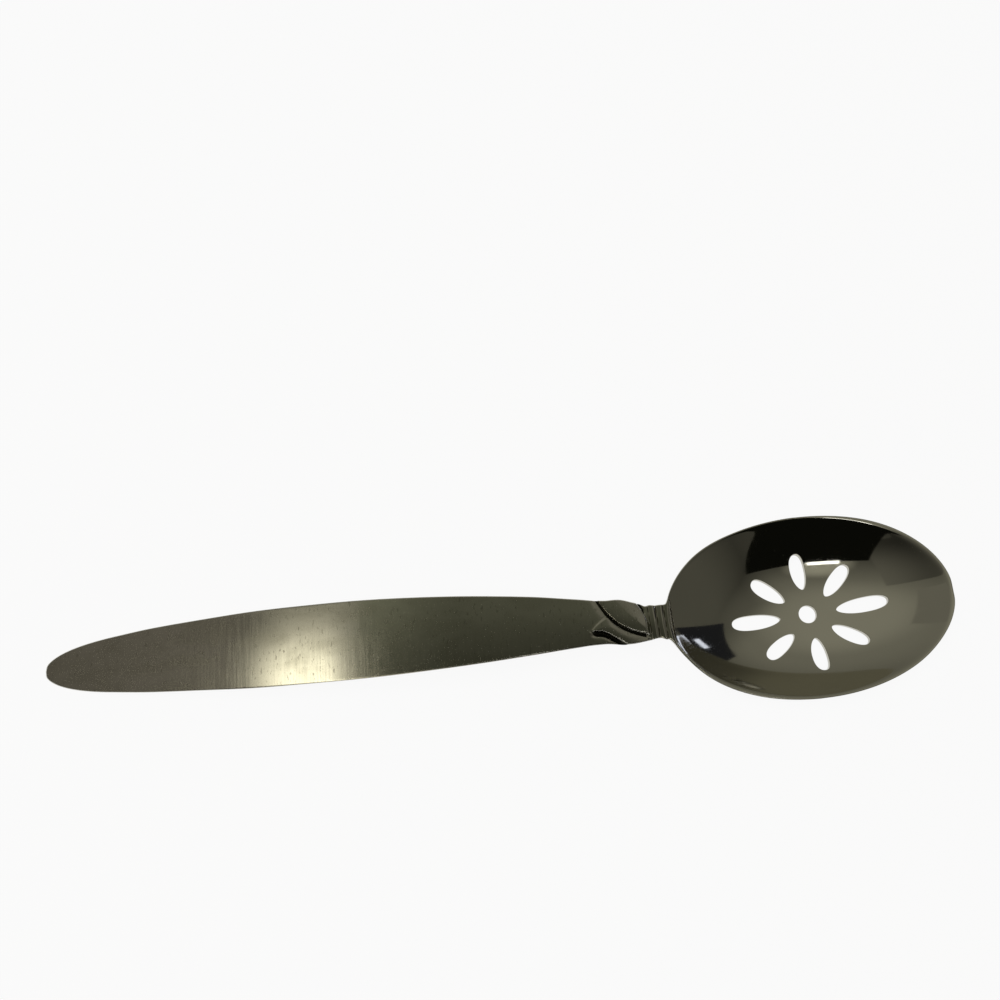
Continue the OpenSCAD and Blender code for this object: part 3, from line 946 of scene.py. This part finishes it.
# %% Cards round the bowl
card("card_near_side", [(0.015, -0.35, 0), (0.27, -0.35, 0), (0.49, -0.35, 0.397),
                        (-0.07, -0.35, 0.397)], emission("black_card", GREY, 0.006))
upright_card("strip", (0.055, -0.349), (0.18, -0.349), 0.383, 0.433,
             emission("white_card", "#ffffff", 4.0))
upright_card("card_far_side", (0.06, 0.034), (0.15, 0.034), 0, 0.012,
             emission("far_card", GREY, 0.05))
level_card("card_at_edge", 0.02, 0.056, -0.04, -0.008, 0.0005,
           emission("edge_card", GREY, 0.12))
card("dark_card_tip", [(0.415, 0.355, 0.03), (0.545, 0.135, 0.03), (0.545, 0.135, 0.36),
                       (0.415, 0.355, 0.15)], emission("dark_card", "#e8ecff", 0.025))
window = emission("blue_window", "#d5dcf5", 2.2)
for name, end, low, high in (("window_upper_pane", (0.467, 0.197), 0.06, 0.09),
                             ("window_lower_pane", (0.482, 0.165), 0.003, 0.034)):
    upright_card(name, (0.441, 0.253), end, low, high, window)
card("dark_ceiling", [(-1.6, -1.2, 0.6), (-0.1, -1.2, 0.6), (-0.226, -0.104, 0.6),
                      (-1.6, -0.21, 0.6)],
     emission("dark_wall", WARM, 0.18, x_levels=(-0.65, 0.45, -0.15, 1.0),
              y_levels=(-1.1, 0.25, -0.1, 1.0)))
print("cards round the bowl:", len(cards) - cards_above)

# %% [markdown]
# The camera looks down steeply from in front of the spoon, close enough that the bowl's far
# rim stands a little higher in the picture than its plan would. Its turn is written as
# three angles: how far it looks down, how far it turns to the right, and a small roll.
# From them come the three directions that make up its matrix.

# %% The camera
PITCH, YAW, ROLL = (math.radians(angle) for angle in (73.0, 4.212, 0.097))
CAMERA_PLACE = (105.07, -37.98, 239.69)  # in millimetres, counted as the spoon's sizes are


def photo_camera():
    data = bpy.data.cameras.new("camera")
    camera = bpy.data.objects.new("camera", data)
    bpy.context.scene.collection.objects.link(camera)
    ahead = Vector((math.sin(YAW), math.cos(YAW), 0))
    right = Vector((math.cos(YAW), -math.sin(YAW), 0))
    look = ahead * math.cos(PITCH) - Vector((0, 0, 1)) * math.sin(PITCH)
    up = right.cross(look)
    right, up = (right * math.cos(ROLL) + up * math.sin(ROLL),
                 up * math.cos(ROLL) - right * math.sin(ROLL))
    place = (Vector(CAMERA_PLACE) - Vector(bench)) * MM
    camera.matrix_world = Matrix((
        (right.x, up.x, -look.x, place.x), (right.y, up.y, -look.y, place.y),
        (right.z, up.z, -look.z, place.z), (0, 0, 0, 1)))
    data.sensor_width, data.lens = 36, 36
    data.clip_start = 0.005
    bpy.context.scene.camera = camera
    print("camera at", [round(v, 4) for v in place], "m")


photo_camera()
bpy.context.scene.view_settings.view_transform = "Standard"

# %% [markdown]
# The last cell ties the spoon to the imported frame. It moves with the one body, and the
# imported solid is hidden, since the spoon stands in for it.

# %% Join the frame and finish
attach(spoon, "root")
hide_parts("pierced_spoon")
